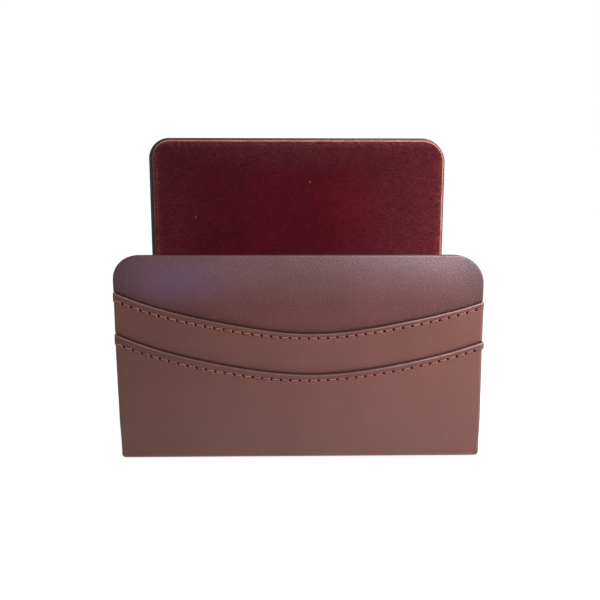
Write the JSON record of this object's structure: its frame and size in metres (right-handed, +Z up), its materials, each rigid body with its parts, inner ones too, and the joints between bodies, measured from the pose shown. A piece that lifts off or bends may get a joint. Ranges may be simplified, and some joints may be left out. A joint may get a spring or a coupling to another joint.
{
  "type": "card holder",
  "caption": "Leather desk card and letter holder with a tall velvet-lined back panel and curved card pockets across a low front panel.",
  "frame": {"origin": "centre of the felt underside, the face the holder rests on", "axes": "+X to the right seen from the front, front pockets facing -Y, +Z up; left and right are as seen from the front"},
  "size_m": [0.1658, 0.0856, 0.1545],
  "materials": {
    "facing_leather": "fine pebble grain, soft sheen",
    "pocket_leather": "smooth, satin",
    "thread": "waxed twisted thread",
    "velvet": "short pile velvet",
    "lining_card": "matte raw edge",
    "board": "matte",
    "felt": "pressed felt"
  },
  "bodies": {
    "root": {"front_board": "board", "back_board": "board", "base_board": "board", "front_corner_angle": "board", "back_corner_angle": "board", "front_infill_card": "board", "back_infill_card": "board", "base_infill_card": "board", "front_facing": "facing_leather", "body_cover": "facing_leather", "upper_card_pocket": "pocket_leather", "lower_card_pocket": "pocket_leather", "upper_needle_thread": "thread", "upper_bobbin_thread": "thread", "lower_needle_thread": "thread", "lower_bobbin_thread": "thread", "front_lining_card": "lining_card", "back_lining_card": "lining_card", "base_lining_card": "lining_card", "front_velvet": "velvet", "back_velvet": "velvet", "base_velvet": "velvet", "base_pad": "felt"}
  },
  "joints": []
}
